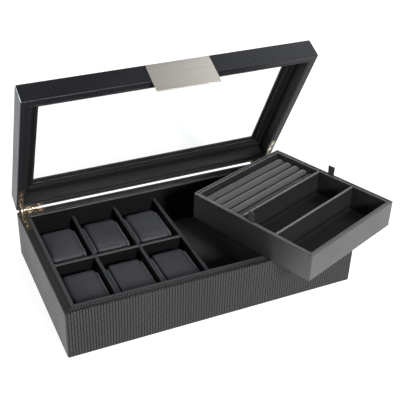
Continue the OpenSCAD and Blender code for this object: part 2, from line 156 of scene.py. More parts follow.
# low: how dark the painted shade in the gaps at the cell edges goes, across u and across v
def weave_mat(name, base, cu=3.31, cv=3.32, bump=0.3, rough=0.46, spec=0.6, low=(0.35, 0.5)):
    """Leatherette embossed with a plain weave, with painted shade in the gaps between the strands and on the odd cells.
    The UV map is in metres along the board and across it.
    """
    M = Mat(name)
    uv = M.coord("UV")
    s = M.t.nodes.new("ShaderNodeSeparateXYZ")
    warp = M.noise(M.mapping(uv, (18, 18, 18)), 1.0, 2.0)
    M.link(uv, s.inputs[0])
    u = M.math("ADD", M.math("DIVIDE", s.outputs[0], cu * MM), M.math("MULTIPLY", warp, 0.3))
    v = M.math("ADD", M.math("DIVIDE", s.outputs[1], cv * MM), M.math("MULTIPLY", warp, 0.2))
    par = M.math("FLOORED_MODULO", M.math("ADD", M.math("FLOOR", u), M.math("FLOOR", v)), 2.0)
    fu = M.math("ABSOLUTE", M.math("SUBTRACT", M.math("MULTIPLY", M.math("FRACT", u), 2.0), 1.0))
    fv = M.math("ABSOLUTE", M.math("SUBTRACT", M.math("MULTIPLY", M.math("FRACT", v), 2.0), 1.0))

    def strand(across, along):
        a = M.math("SUBTRACT", 1.0, M.math("POWER", across, 2.2))
        b = M.math("SUBTRACT", 1.0, M.math("POWER", along, 5.0))
        return M.math("MULTIPLY", a, b)

    he, ho = strand(fu, fv), strand(fv, fu)
    hm = M.t.nodes.new("ShaderNodeMix")
    hm.data_type = "FLOAT"
    M.link(par, hm.inputs[0]), M.link(he, hm.inputs[2]), M.link(ho, hm.inputs[3])
    h = hm.outputs[0]
    obj = M.coord("Object")
    big = M.noise(M.mapping(obj, (9, 9, 9)), 1.0, 3.0)
    fine = M.noise(obj, 2600.0, 2.0)
    # painted shade: each cell darkens towards its edges, standing in for the shade in the gaps between the strands
    tone = M.math("MULTIPLY", M.ramp(fu, 0.45, 0.95, 1.0, low[0]), M.ramp(fv, 0.5, 0.95, 1.0, low[1]))
    # painted shade: odd cells a little darker, standing in for strands running the other way catching less light
    tone = M.math("MULTIPLY", tone, M.math("SUBTRACT", 1.06, M.math("MULTIPLY", par, 0.12)))
    tone = M.math("MULTIPLY", tone, M.ramp(big, 0.3, 0.7, 0.9, 1.1))
    c = M.mix(tone, (0.0, 0.0, 0.0), base)
    M.link(c, M.b.inputs["Base Color"])
    M.link(M.ramp(M.math("ADD", big, M.math("MULTIPLY", fine, 0.25)), 0.3, 0.9, rough - 0.05, rough + 0.07), M.b.inputs["Roughness"])
    n1 = M.bump(h, bump, 0.0005)
    n2 = M.bump(fine, 0.12, 0.00006, n1)
    M.link(n2, M.b.inputs["Normal"])
    # painted shade on the reflection: the specular tint follows the painted gap shade, so the gaps reflect less
    M.link(M.mix(M.ramp(tone, 0.0, 0.9, 0.0, 1.0), (0.02, 0.02, 0.02), (1.0, 1.0, 1.0)), M.b.inputs["Specular Tint"])
    M.set(IOR=1.5, Specular_IOR_Level=spec)
    return M.m


def leather_mat(name, base, rough=0.5, scale=1500.0, strength=0.2, spec=0.5, crease=0.0, edge=None):
    M = Mat(name)
    obj = M.coord("Object")
    big = M.noise(M.mapping(obj, (14, 14, 14)), 1.0, 4.0)
    mid = M.noise(obj, 160.0, 3.0)
    tone = M.ramp(M.math("ADD", M.math("MULTIPLY", big, 0.6), M.math("MULTIPLY", mid, 0.4)), 0.3, 0.7, 0.82, 1.18)
    c = M.mix(tone, (0, 0, 0), base)
    M.link(c, M.b.inputs["Base Color"])
    M.link(M.ramp(big, 0.3, 0.75, rough - 0.06, rough + 0.08), M.b.inputs["Roughness"])
    n = grain(M, obj, scale, strength)
    if crease:
        folds = M.noise(M.mapping(obj, (60, 95, 60)), 1.0, 2.0, 0.5, 0.6)
        n = M.bump(folds, crease, 0.0015, n)
    M.link(n, M.b.inputs["Normal"])
    M.set(IOR=1.5, Specular_IOR_Level=spec)
    return M.m


def cloth_mat(name, base, rough=0.9, pile=1400.0, sheen=0.3, strength=0.5, patches=0.25, stretch=(1, 1, 1), tint=(1, 1, 1, 1), seam=None):
    M = Mat(name)
    obj = M.mapping(M.coord("Object"), stretch)
    big = M.noise(obj, 35.0, 3.0, 0.6, 0.8)
    fine = M.noise(obj, pile, 4.0, 0.7)
    tone = M.ramp(M.math("ADD", M.math("MULTIPLY", big, 0.5), M.math("MULTIPLY", fine, 0.5)), 0.35, 0.65, 1 - patches, 1 + patches)
    # painted shade: with seam given, the colour darkens below a height in object z, standing in for the shade in the
    # grooves between the ring rolls
    if seam:
        s = M.t.nodes.new("ShaderNodeSeparateXYZ")
        M.link(M.coord("Object"), s.inputs[0])
        tone = M.math("MULTIPLY", tone, M.ramp(s.outputs[2], seam[0], seam[1], seam[2], 1.0))
    M.link(M.mix(tone, (0, 0, 0), base), M.b.inputs["Base Color"])
    M.link(M.ramp(big, 0.3, 0.7, rough - 0.06, min(1.0, rough + 0.06)), M.b.inputs["Roughness"])
    M.link(M.bump(fine, strength, 0.0004), M.b.inputs["Normal"])
    M.set(Sheen_Weight=sheen, Sheen_Roughness=0.45, Sheen_Tint=tint, Specular_IOR_Level=0.2)
    return M.m


def ribbon_mat(name, base):
    M = Mat(name)
    obj = M.mapping(M.coord("Object"), (1, 1, 1), (0, 0, -rad(21.2)))
    s = M.t.nodes.new("ShaderNodeSeparateXYZ")
    M.link(obj, s.inputs[0])
    ribs = M.math("SINE", M.math("MULTIPLY", s.outputs[2], 2 * math.pi / 0.0009))
    thread = M.math("SINE", M.math("MULTIPLY", s.outputs[1], 2 * math.pi / 0.0006))
    h = M.math("ADD", M.math("MULTIPLY", ribs, 0.6), M.math("MULTIPLY", thread, 0.3))
    M.link(M.mix(M.ramp(h, -0.9, 0.9, 0.6, 1.25), (0, 0, 0), base), M.b.inputs["Base Color"])
    M.link(M.bump(h, 0.35, 0.0002), M.b.inputs["Normal"])
    M.set(Roughness=0.5, Sheen_Weight=0.3, Sheen_Roughness=0.4, Specular_IOR_Level=0.4)
    return M.m


def steel_mat(name):
    M = Mat(name)
    obj = M.coord("Object")
    lines = M.noise(M.mapping(obj, (14, 2600, 2600)), 1.0, 4.0, 0.7)
    wide = M.noise(M.mapping(obj, (6, 260, 260)), 1.0, 2.0)
    t = M.math("ADD", M.math("MULTIPLY", lines, 0.65), M.math("MULTIPLY", wide, 0.35))
    M.link(M.mix(M.ramp(t, 0.3, 0.7, 0.0, 1.0), (0.565, 0.518, 0.456), (0.645, 0.60, 0.54)), M.b.inputs["Base Color"])
    M.link(M.ramp(t, 0.25, 0.75, 0.33, 0.45), M.b.inputs["Roughness"])
    M.link(M.bump(lines, 0.12, 0.00006), M.b.inputs["Normal"])
    M.set(Metallic=1.0)
    return M.m


def brass_mat(name, light=(0.68, 0.60, 0.49), dark=(0.07, 0.05, 0.034), k0=0.41, k1=0.53):
    M = Mat(name)
    obj = M.coord("Object")
    patch = M.noise(obj, 380.0, 5.0, 0.7, 0.8)
    fine = M.noise(obj, 2400.0, 3.0, 0.6)
    k = M.ramp(M.math("ADD", M.math("MULTIPLY", patch, 0.75), M.math("MULTIPLY", fine, 0.25)), k0, k1, 0.0, 1.0)
    M.link(M.mix(k, light, dark), M.b.inputs["Base Color"])
    M.link(M.ramp(k, 0.0, 1.0, 0.26, 0.55), M.b.inputs["Roughness"])
    M.link(M.bump(fine, 0.2, 0.0001), M.b.inputs["Normal"])
    M.set(Metallic=1.0)
    return M.m


def glass_mat(name):
    M = Mat(name)
    obj = M.coord("Object")
    smear = M.noise(M.mapping(obj, (9, 22, 9)), 1.0, 4.0, 0.6, 1.2)
    M.link(M.mix(M.ramp(smear, 0.5, 0.8, 0.0, 1.0), (0.99, 1.0, 0.995), (0.955, 0.965, 0.96)), M.b.inputs["Base Color"])
    M.set(Roughness=0.0, Transmission_Weight=1.0, IOR=1.46)
    return M.m


def board_mat(name):
    M = Mat(name)
    obj = M.coord("Object")
    n = M.noise(M.mapping(obj, (60, 600, 600)), 1.0, 4.0)
    M.link(M.mix(n, (0.02, 0.018, 0.016), (0.055, 0.048, 0.04)), M.b.inputs["Base Color"])
    M.link(M.bump(n, 0.3, 0.0003), M.b.inputs["Normal"])
    M.set(Roughness=0.8)
    return M.m


wrap_base = weave_mat("wrap_base_m", (0.024, 0.0235, 0.0235), bump=0.5, rough=0.40, spec=0.40, low=(0.12, 0.36))
# painted highlight: a lighter copy of the base weave for the rounded top of the rim, where the light catches it
rim_highlight_wrap = weave_mat("rim_highlight_wrap_m", (0.080, 0.080, 0.086), bump=0.5, rough=0.40, spec=0.45, low=(0.0, 0.5))
wrap_lid = weave_mat("wrap_lid_m", (0.0115, 0.012, 0.0148), bump=0.22, rough=0.32, spec=0.24, low=(0.55, 0.65))
corner_m = leather_mat("corner_m", (0.012, 0.0125, 0.0145), 0.16, 2200.0, 0.05, 0.8)
wrap_tray = leather_mat("wrap_tray_m", (0.012, 0.0118, 0.0128), 0.36, 1900.0, 0.2, 1.0)
# painted shade: the three lining materials below are one black lining at three darknesses; the lid lining lightest, the
# slot and bay walls darker, the lid's rim and window edges darkest
lining_m = leather_mat("lining_m", (0.0085, 0.0087, 0.0094), 0.5, 1700.0, 0.14, 0.14)
slot_shade_m = leather_mat("slot_lining_shade_m", (0.0042, 0.0043, 0.0050), 0.55, 1700.0, 0.14, 0.10)
# painted shade: darkest copy of the lining, for the lid's rim that faces down and forward
rim_shade_m = leather_mat("rim_shade_m", (0.0014, 0.0014, 0.0018), 0.55, 1700.0, 0.14, 0.02)
# painted highlight: lighter copy of the lining for the liner's rolled top, where the light from above falls
liner_top_highlight_m = leather_mat("liner_top_highlight_m", (0.034, 0.034, 0.037), 0.5, 1700.0, 0.14, 0.4)
# painted highlight: lighter copy of the wrap for the divider tops, where the light from above catches them
divider_top_highlight_m = leather_mat("divider_top_highlight_m", (0.024, 0.025, 0.028), 0.5, 1500.0, 0.16, 0.3)
tray_in_m = leather_mat("tray_lining_m", (0.0150, 0.0145, 0.0160), 0.5, 1600.0, 0.16, 0.2)
pillow_m = leather_mat("pillow_m", (0.031, 0.0316, 0.038), 0.54, 1300.0, 0.14, 0.28, crease=0.12)
# painted highlight: the piping is a lighter copy of the pillow leather, standing in for the light catching the piped
# edge
piping_highlight_m = leather_mat("piping_highlight_m", (0.050, 0.0515, 0.058), 0.42, 2400.0, 0.2, 0.5)
suede_m = cloth_mat("suede_m", (0.014, 0.014, 0.0152), 0.92, 1500.0, 0.12, 0.5, 0.22)
tray_suede_m = cloth_mat("tray_suede_m", (0.030, 0.029, 0.031), 0.92, 1500.0, 0.12, 0.5, 0.22)
# painted highlight: a much lighter copy of the tray leather for the tops of the tray's rims and dividers, where the
# light catches them
tray_top_highlight_m = leather_mat("tray_top_highlight_m", (0.100, 0.100, 0.106), 0.45, 1900.0, 0.14, 0.5)
felt_m = cloth_mat("felt_m", (0.030, 0.030, 0.031), 0.95, 900.0, 0.15, 0.7, 0.3)
# ring velvet: the seam band darkens it below z 90.3 mm, painted shade in the grooves between the rolls
ring_m = cloth_mat("ring_velvet_m", (0.058, 0.0575, 0.0565), 0.8, 1900.0, 0.3, 0.45, 0.2, (1, 1, 1), (1, 0.99, 0.97, 1), (0.0845, 0.0903, 0.10))
ribbon_m = ribbon_mat("ribbon_m", (0.010, 0.010, 0.0125))
brass_m = brass_mat("brass_m")
screw_m = brass_mat("screw_m", (0.86, 0.79, 0.67), (0.30, 0.23, 0.16), 0.5, 0.62)
steel_m = steel_mat("steel_m")
glass_m = glass_mat("glass_m")
board_m = board_mat("board_m")
foam_m = cloth_mat("adhesive_m", (0.03, 0.03, 0.03), 0.9, 1800.0, 0.0, 0.6, 0.2)


# ---------------------------------------------------------------- mesh helpers
def finish_mesh(name, me, mats, body, replaces=(), xf=None, smooth=35, weighted=True):
    if xf is not None:
        me.transform(xf)
    o = bpy.data.objects.new(name, me)
    bpy.context.scene.collection.objects.link(o)
    for m in mats if isinstance(mats, (list, tuple)) else [mats]:
        me.materials.append(m)
    me.shade_smooth()
    me.set_sharp_from_angle(angle=rad(smooth))
    if weighted:
        wn = o.modifiers.new("normals", "WEIGHTED_NORMAL")
        wn.keep_sharp = True
    if replaces:
        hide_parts(*replaces)
    if body:
        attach(o, body)
    return o


def arc(cx, cy, r, a0, a1, n=4):
    """Points in (inset, height) on an arc; angles in degrees."""
    return [(cx + r * math.cos(rad(a0 + (a1 - a0) * i / n)), cy + r * math.sin(rad(a0 + (a1 - a0) * i / n))) for i in range(n + 1)]


def ring_mesh(prof, w, d, R, n=5, mat_of=None, wave=0.0):
    """Closed profile swept round a rectangle. A profile point is (inset, z) or (side inset, front inset, rear inset, z), in mm."""
    P = [(p[0], p[0], p[0], p[1]) if len(p) == 2 else p for p in prof]
    k = len(P)
    A = w / 2 + d / 2 - 2 * R + R * math.pi / 2
    step = [w / 2 + d / 2 - 2 * R + R * math.pi / 2] * 4
    co, us = [], []
    for dx, df, dr, z in P:
        r = max(R - min(dx, df, dr), 0.03)
        ring, u = [], []
        corners = [(1, -1, df, -90), (1, 1, dr, 0), (-1, 1, dr, 90), (-1, -1, df, 180)]
        for c, (sx, sy, dy, a0) in enumerate(corners):
            cx, cy = sx * (w / 2 - dx - r), sy * (d / 2 - dy - r)
            pts = [(cx + r * math.cos(rad(a0 + 90 * i / n)), cy + r * math.sin(rad(a0 + 90 * i / n))) for i in range(n + 1)]
            base = [0, A, 2 * A, 3 * A, 4 * A]
            first = {0: pts[0][0], 1: A + pts[0][1], 2: 2 * A - pts[0][0], 3: 3 * A - pts[0][1]}[c]
            last = {0: A + pts[-1][1], 1: 2 * A - pts[-1][0], 2: 3 * A - pts[-1][1], 3: 4 * A + pts[-1][0]}[c]
            for i, p in enumerate(pts):
                ring.append((p[0], p[1], z))
                u.append(first + (last - first) * i / n)
        co.append(ring)
        us.append(u)
    N = len(co[0])
    v = [0.0]
    for j in range(k):
        a, b = P[j], P[(j + 1) % k]
        v.append(v[-1] + math.hypot(b[1] - a[1], b[3] - a[3]))
    verts = [tuple(c * MM for c in p) for ring in co for p in ring]
    faces, uvs, mi = [], [], []
    for j in range(k):
        j2 = (j + 1) % k
        for i in range(N):
            i2 = (i + 1) % N
            faces.append((j * N + i, j * N + i2, j2 * N + i2, j2 * N + i))
            ua, ub = us[j][i], us[j][i2] + (4 * A if i2 == 0 else 0)
            uc, ud = us[j2][i2] + (4 * A if i2 == 0 else 0), us[j2][i]
            if i2 == 0:
                ua, ub, uc, ud = ua, us[j][0] + 4 * A, us[j2][0] + 4 * A, us[j2][i]
            uvs += [(ua * MM, v[j] * MM), (ub * MM, v[j] * MM), (uc * MM, v[j + 1] * MM), (ud * MM, v[j + 1] * MM)]
            mi.append(mat_of(j) if mat_of else 0)
    me = bpy.data.meshes.new("ring")
    me.from_pydata(verts, [], faces)
    layer = me.uv_layers.new(name="UVMap")
    for i, q in enumerate(uvs):
        layer.data[i].uv = q
    me.polygons.foreach_set("material_index", mi)
    # outward faces
    bm = bmesh.new()
    bm.from_mesh(me)
    bmesh.ops.recalc_face_normals(bm, faces=bm.faces)
    bm.to_mesh(me)
    bm.free()
    return me


def prism_mesh(pts, length, n=1, closed_caps=True):
    """Polygon in (a, z) pushed along x from -length/2 to length/2, in mm."""
    verts, faces = [], []
    k = len(pts)
    for i in range(n + 1):
        x = -length / 2 + length * i / n
        verts += [(x * MM, a * MM, z * MM) for a, z in pts]
    for i in range(n):
        for j in range(k):
            j2 = (j + 1) % k
            faces.append((i * k + j, i * k + j2, (i + 1) * k + j2, (i + 1) * k + j))
    faces.append(tuple(range(k))[::-1])
    faces.append(tuple(n * k + j for j in range(k)))
    me = bpy.data.meshes.new("prism")
    me.from_pydata(verts, [], faces)
    bm = bmesh.new()
    bm.from_mesh(me)
    bmesh.ops.recalc_face_normals(bm, faces=bm.faces)
    bm.to_mesh(me)
    bm.free()
    return me


def boxes_mesh(boxes):
    bm = bmesh.new()
    for lo, hi in boxes:
        m = Matrix.Translation([(a + b) / 2 * MM for a, b in zip(lo, hi)]) @ Matrix.Diagonal([(b - a) * MM for a, b in zip(lo, hi)] + [1])
        bmesh.ops.create_cube(bm, size=1, matrix=m)
    me = bpy.data.meshes.new("boxes")
    bm.to_mesh(me)
    bm.free()
    return me


def cut(me, cutter_meshes):
    """me minus each cutter, with its UVs kept."""
    o = bpy.data.objects.new("cutting", me)
    bpy.context.scene.collection.objects.link(o)
    made = []
    for c in cutter_meshes:
        co = bpy.data.objects.new("cutter", c)
        bpy.context.scene.collection.objects.link(co)
        made.append(co)
        b = o.modifiers.new("b", "BOOLEAN")
        b.operation, b.solver, b.object = "DIFFERENCE", "EXACT", co
        b.use_self = True
    bpy.context.view_layer.update()
    dg = bpy.context.evaluated_depsgraph_get()
    out = bpy.data.meshes.new_from_object(o.evaluated_get(dg))
    for x in [o] + made:
        bpy.data.objects.remove(x)
    out.materials.clear()
    return out


# ---------------------------------------------------------------- hinge pockets
AX0 = -HW + 2.4
AY1 = HD - 0.4


def both(boxes):
    return boxes + [((-hi[0], lo[1], lo[2]), (-lo[0], hi[1], hi[2])) for lo, hi in boxes]


def leaf_boxes(z0, z1):
    return [((AX0 - 0.12, HD - 42.12, z0), (AX0 + 6.52, AY1 + 2, z1)), ((AX0 + 6.4, AY1 - 6.52, z0), (AX0 + 32.12, AY1 + 2, z1))]


def barrel_cutters():
    pts = [(AY + 2.35 * math.cos(rad(a)), AZ + 2.35 * math.sin(rad(a))) for a in range(0, 360, 15)]
    out = []
    for s in (1, -1):
        me = prism_mesh(pts, 26.2)
        me.transform(Matrix.Translation((s * (AX0 + 13.4) * MM, 0, 0)))
        out.append(me)
    return out


def stay_cutters():
    xm = AX0 + 3.2 - 0.5
    pts = []
    for a in range(-4, 75, 6):
        pts.append((AY - 16.1 * math.cos(rad(a)), AZ - 16.1 * math.sin(rad(a))))
    for a in range(74, -5, -6):
        pts.append((AY - 11.9 * math.cos(rad(a)), AZ - 11.9 * math.sin(rad(a))))
    out = []
    for s in (1, -1):
        me = prism_mesh(pts, 2.0)
        me.transform(Matrix.Translation((s * xm * MM, 0, 0)))
        out.append(me)
    return out


# ---------------------------------------------------------------- base
prof = (
    [(9.4, 0.9), (0.9, 0.9)] + arc(0.9, 1.8, 0.9, -90, -180, 3)[1:] + arc(1.0, H - 1.0, 1.0, 180, 90, 4)
    + [(5.5, H + 0.02), (6.15, H - 0.12), (6.5, H - 0.75), (6.9, H - 0.75), (7.2, H - 0.2), (7.7, H), (8.6, H - 0.05), (9.1, H - 0.4), (9.3, H - 1.1), (9.38, H - 3)]
)
# the faces of the rim's rounded top edge (j 7 to 9) take the painted-highlight copy
me = ring_mesh(prof, W, D, 1.8, mat_of=lambda j: 1 if 7 <= j <= 9 else 0)
cutters = [boxes_mesh(both(leaf_boxes(H - 1.04, H + 3)))] + barrel_cutters() + stay_cutters()
me = cut(me, cutters)
finish_mesh("base_wrap", me, [wrap_base, rim_highlight_wrap], "base", ["base_wall_front", "base_wall_rear", "base_wall_left", "base_wall_right"])

prof = [(14.38, 5.4), (9.45, 5.4), (9.45, 60.2)] + arc(10.3, 60.25, 0.85, 180, 100, 3)[1:] + [(11.9, 61.28)] + arc(13.3, 60.1, 1.08, 78, 0, 4)
# the liner's rolled top (j 2 to 9) takes the painted-highlight copy, the walls below the painted-shade copy
me = ring_mesh(prof, W, D, 0.3, mat_of=lambda j: 1 if 2 <= j <= 9 else 0)
finish_mesh("base_lining", me, [slot_shade_m, liner_top_highlight_m], "base", ["base_liner_front", "base_liner_rear", "base_liner_left", "base_liner_right"])


def top_bar(name, length, t, z0, z1, place, mats, body, rep, r=1.6, n=24, xf=None, sag=0.12, side_mat=slot_shade_m):
    """Wrapped divider board with a rolled top edge; it lies along x before it is placed. The rolled top takes a lighter
    copy of the leather, a painted highlight, and the sides a darker copy.
    """
    pts = [(-t / 2, z0), (-t / 2, z1 - r)] + arc(-t / 2 + r, z1 - r, r, 180, 90, 5)[1:] + arc(t / 2 - r, z1 - r, r, 90, 0, 5) + [(t / 2, z0)]
    me = prism_mesh(pts, length, n)
    k = len(pts)
    # top faces take the painted-highlight copy, all other faces the darker side copy
    for i, p in enumerate(me.polygons):
        zz = [me.vertices[q].co.z / MM for q in p.vertices]
        p.material_index = 0 if len(p.vertices) == 4 and min(zz) > z1 - r - 0.01 else 1
    mats = [mats, side_mat]
    for v in me.vertices:
        z = v.co.z / MM
        if z > z1 - r - 0.5:
            q = noise.noise(Vector((v.co.x * 60, len(name) * 3.1, 0.0)))
            v.co.z += (q * sag - sag * 0.5) * MM
            v.co.y += q * 0.08 * MM
    m = Matrix(place)
    me.transform(m)
    return finish_mesh(name, me, mats, body, [rep], xf)


def at(x, y, turn=0.0):
    return Matrix.Translation((x * MM, y * MM, 0)) @ Matrix.Rotation(rad(turn), 4, "Z")


D1, D2, BAY = -112.2, -56.6, -1.0
top_bar("divider_outer", 2 * INY - 0.1, 4.4, 6.0, 49.0, at(D1, 0, 90), divider_top_highlight_m, "base", "column_divider_outer")
top_bar("divider_inner", 2 * INY - 0.1, 4.4, 6.0, 49.0, at(D2, 0, 90), divider_top_highlight_m, "base", "column_divider_inner")
top_bar("divider_bay", 2 * INY - 0.1, 4.4, 4.9, 49.0, at(BAY, 0, 90), divider_top_highlight_m, "base", "bay_divider")
top_bar("divider_row", BAY - 2.2 + INX - 0.1, 4.4, 6.0, 48.9, at((BAY - 2.2 - INX) / 2, 0), divider_top_highlight_m, "base", "row_divider")

# ---------------------------------------------------------------- lid
ws, wf, wr = 26.5, 28.0, 29.0
prof = (
    [(0.0, LZ + 0.9)] + arc(0.9, LZ + 0.9, 0.9, 180, 270, 4)[1:]
    + [(7.4, LZ), (7.9, LZ + 0.12), (8.2, LZ + 0.7), (8.6, LZ + 0.7), (8.9, LZ + 0.15), (9.3, LZ), (10.2, LZ + 0.05), (10.75, LZ + 0.4), (10.95, LZ + 1.0)]
    + [(10.98, LT - 2.38), (ws, wf, wr, LT - 2.38), (ws, wf, wr, LT - 0.7), (ws - 0.2, wf - 0.2, wr - 0.2, LT - 0.2), (ws - 0.7, wf - 0.7, wr - 0.7, LT)]
    + arc(1.7, LT - 1.7, 1.7, 90, 180, 5)
)
# the lower edge, rim, inner wall and window edges (j 0 to 17) take the darkest painted-shade copy of the lining
me = ring_mesh(prof, W, D, 2.2, mat_of=lambda j: 1 if j <= 17 else 0)
me = cut(me, [boxes_mesh(both(leaf_boxes(LZ - 3, LZ + 1.04)))] + barrel_cutters())
for p in me.polygons:
    if p.material_index == 0 and abs(p.center.x) > (HW - 1.7) * MM and abs(p.center.y) > (HD - 1.7) * MM:
        p.material_index = 2
finish_mesh("lid_wrap", me, [wrap_lid, rim_shade_m, corner_m], "lid", ["lid_rail_front", "lid_rail_rear", "lid_rail_left", "lid_rail_right", "lid_top_frame"], OPEN)

prof = [(11.02, LZ + 0.8)] + arc(11.9, LZ + 1.5, 0.68, 230, 340, 4) + [(12.58, 77.36), (11.02, 77.36)]
finish_mesh("lid_lining_skin", ring_mesh(prof, W, D, 0.2), lining_m, "lid", ["lid_lining"], OPEN)


def wi(d, z):
    return (ws + d, wf + d, wr + d, z)


prof = (
    [(11.02, 77.42), wi(-9.4, 77.42), wi(-8.5, 77.6), wi(-8.05, 78.1), wi(-8.0, 79.2), wi(-7.7, 79.4)]
    + [wi(-6.6, 79.4), wi(-6.3, 79.75), wi(-5.9, 79.75), wi(-5.6, 79.42), wi(-4.0, 79.42), wi(-3.3, 79.7), wi(-3.0, 80.3), wi(-3.0, 82.38), (11.02, 82.38)]
)
finish_mesh("glass_moulding", ring_mesh(prof, W, D, 0.2), lining_m, "lid", ["glass_retainer"], OPEN)

# ---------------------------------------------------------------- valet tray
prof = (
    [(3.4, 0.65), (0.6, 0.65)] + arc(0.7, 1.35, 0.7, -90, -180, 3)[1:] + arc(1.2, TH - 1.2, 1.2, 180, 95, 4)
    + [(2.2, TH + 0.02), (2.9, TH - 0.15), (3.25, TH - 0.75), (3.38, TH - 2.0)]
)
# the outer rim top (j 8 to 9) takes the painted-highlight copy
finish_mesh("tray_wrap", ring_mesh(prof, TW, TL, 1.4, mat_of=lambda j: 1 if 8 <= j <= 9 else 0), [wrap_tray, tray_top_highlight_m], "tray", ["tray_wall_front", "tray_wall_rear", "tray_wall_left", "tray_wall_right"], TRAY)
prof = [(5.78, 3.02), (3.42, 3.02), (3.42, TH - 1.6)] + arc(4.15, TH - 1.45, 0.72, 170, 90, 3) + arc(4.75, TH - 1.75, 1.02, 80, 0, 4)
# the lining's rolled top (j 3 to 8) takes the painted-highlight copy
finish_mesh("tray_lining_skin", ring_mesh(prof, TW, TL, 0.2, mat_of=lambda j: 1 if 3 <= j <= 8 else 0), [tray_in_m, tray_top_highlight_m], "tray", ["tray_lining"], TRAY)
RY0 = TIY - 65.0
DY = (RY0 - 3.0 - TIY) / 2
# divider tops take the painted-highlight copy, their sides the tray lining
top_bar("tray_divider_front", 2 * TIX - 0.1, 3.0, 3.0, TH - 1.0, at(0, DY), tray_top_highlight_m, "tray", "tray_divider", 1.2, xf=TRAY, side_mat=tray_in_m)
top_bar("tray_divider_ring", 2 * TIX - 0.1, 3.0, 3.0, TH - 1.0, at(0, RY0 - 1.5), tray_top_highlight_m, "tray", "tray_ring_divider", 1.2, xf=TRAY, side_mat=tray_in_m)

# ring rolls: stuffed velvet tubes pressed against each other, sunk a little at their ends
PITCH = 13.0
for i in range(1, 6):
    w, top, L = 12.3, TH - 7.0, 2 * TIX - 0.2
    yc = RY0 + PITCH * (i - 0.5)
    half = w / 2
    pts = [(-half + 0.25, 3.0), (-half + 0.05, top - half - 4), (-half, top - half)]
    pts += [(half * math.cos(rad(a)), top - half + half * math.sin(rad(a))) for a in range(170, 5, -10)]
    pts += [(half, top - half), (half - 0.05, top - half - 4), (half - 0.25, 3.0)]
    me = prism_mesh(pts, L, 72)
    for v in me.vertices:
        x, y, z = (c / MM for c in v.co)
        if z > 12:
            e = max(0.0, 1 - (L / 2 - abs(x)) / 5.0)
            low = noise.noise(Vector((x * 0.045, i * 5.3, z * 0.03)))
            fine = noise.noise(Vector((x * 0.22, y * 0.25 + i * 9.1, z * 0.25)))
            lift = (z - 12) / (top - 12)
            v.co.z += (-1.5 * e * e + 0.35 * low + 0.12 * fine) * lift * MM
            v.co.y += (0.25 * low) * lift * MM
            v.co.y *= 1 - 0.03 * e
    me.transform(Matrix.Translation((0, yc * MM, 0)))
    o = finish_mesh("ring_roll_velvet_%d" % i, me, ring_m, "tray", ["ring_roll_%d" % i], TRAY, smooth=60)


def tab(name, s, node_name, lean):
    """Folded ribbon: out of the joint between board and lining, up, round and back down."""
    xo = -TW / 2 + 3.4 - 0.4
    path = [(xo, 24.0), (xo, 34.5), (xo - 0.25, 36.5), (xo - 0.7 + lean * 0.2, 40.0), (xo - 0.85 + lean * 0.6, 44.0)]
    cx, cz, r = xo - 0.15 + lean * 0.85, 46.9, 0.85
    path += [(cx + r * math.cos(rad(a)), cz + r * math.sin(rad(a))) for a in range(180, -1, -30)]
    path += [(xo + 0.55 + lean * 0.6, 44.0), (xo + 0.35 + lean * 0.2, 40.0), (xo + 0.1, 36.5), (xo + 0.05, 34.5), (xo + 0.05, 24.0)]
    t, hw2 = 0.36, 4.3
    n = len(path)
    outer, inner = [], []
    for k in range(n):
        a, b = path[max(0, k - 1)], path[min(n - 1, k + 1)]
        tx, tz = b[0] - a[0], b[1] - a[1]
        l = math.hypot(tx, tz) or 1
        nx, nz = -tz / l, tx / l
        outer.append((path[k][0] + nx * t / 2, path[k][1] + nz * t / 2))
        inner.append((path[k][0] - nx * t / 2, path[k][1] - nz * t / 2))
    prof2 = outer + inner[::-1]
    verts, faces = [], []
    rows = [-hw2, -hw2 + 0.25, -hw2 / 2, 0, hw2 / 2, hw2 - 0.25, hw2]
    for q, y in enumerate(rows):
        thin = 0.6 if q in (0, len(rows) - 1) else 1.0
        for k, (x, z) in enumerate(prof2):
            c = path[k] if k < n else path[2 * n - 1 - k]
            bow = 0.25 * (1 - (y / hw2) ** 2) * max(0, (z - 36) / 12)
            verts.append(((c[0] + (x - c[0]) * thin + bow) * MM * s, y * MM, (c[1] + (z - c[1]) * thin) * MM))
    m = len(prof2)
    for q in range(len(rows) - 1):
        for k in range(m):
            k2 = (k + 1) % m
            faces.append((q * m + k, q * m + k2, (q + 1) * m + k2, (q + 1) * m + k))
    for q in (0, len(rows) - 1):
        for k in range(n - 1):
            faces.append((q * m + k, q * m + k + 1, q * m + m - 2 - k, q * m + m - 1 - k))
    me = bpy.data.meshes.new(name)
    me.from_pydata(verts, [], faces)
    bm = bmesh.new()
    bm.from_mesh(me)
    bmesh.ops.recalc_face_normals(bm, faces=bm.faces)
    bm.to_mesh(me)
    bm.free()
    return finish_mesh(name, me, ribbon_m, "tray", [node_name], TRAY, smooth=60)


tab("ribbon_tab_left", 1, "pull_tab_left", 0.5)
tab("ribbon_tab_right", -1, "pull_tab_right", 0.5)

# ---------------------------------------------------------------- pillows
PW, PL, PZ0, PZ1 = 42.0, 67.0, 6.0, 46.0


